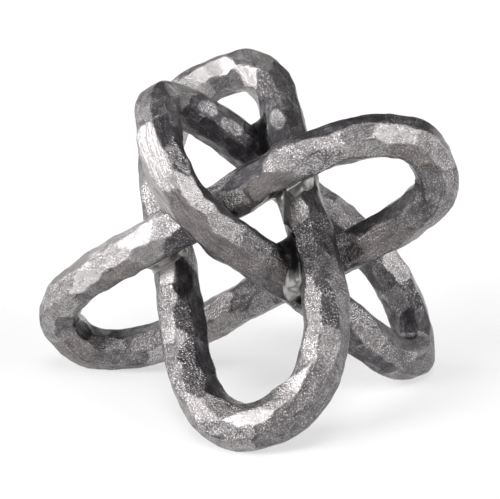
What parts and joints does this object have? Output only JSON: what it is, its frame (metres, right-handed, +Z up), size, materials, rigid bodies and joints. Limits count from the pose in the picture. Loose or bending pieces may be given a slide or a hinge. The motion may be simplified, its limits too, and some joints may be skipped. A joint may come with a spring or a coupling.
{
  "type": "metal link sculpture",
  "caption": "Table sculpture of interlaced oval links of hammered cast aluminium bar, standing on their ends and welded where the bars touch; a shelf or desk ornament",
  "frame": {"origin": "on the table, under the middle of the sculpture's bounding box", "axes": "+X to the right seen from the front, +Y to the back, +Z up; the upright link's foot points to -Y"},
  "size_m": [0.1812, 0.1562, 0.1393],
  "materials": {
    "cast_aluminium": "sand-cast and hammered, brushed on its raised ridges",
    "weld_aluminium": "smooth weld metal, lightly dressed"
  },
  "bodies": {
    "root": {"link_across": "cast_aluminium", "link_threaded": "cast_aluminium", "link_upright": "cast_aluminium", "closing_weld": "weld_aluminium", "weld_across_threaded_upper": "weld_aluminium", "weld_across_threaded_lower": "weld_aluminium", "weld_threaded_upright_front": "weld_aluminium", "weld_threaded_upright_back": "weld_aluminium", "weld_upright_across_right": "weld_aluminium", "weld_upright_across_left": "weld_aluminium"}
  },
  "joints": []
}
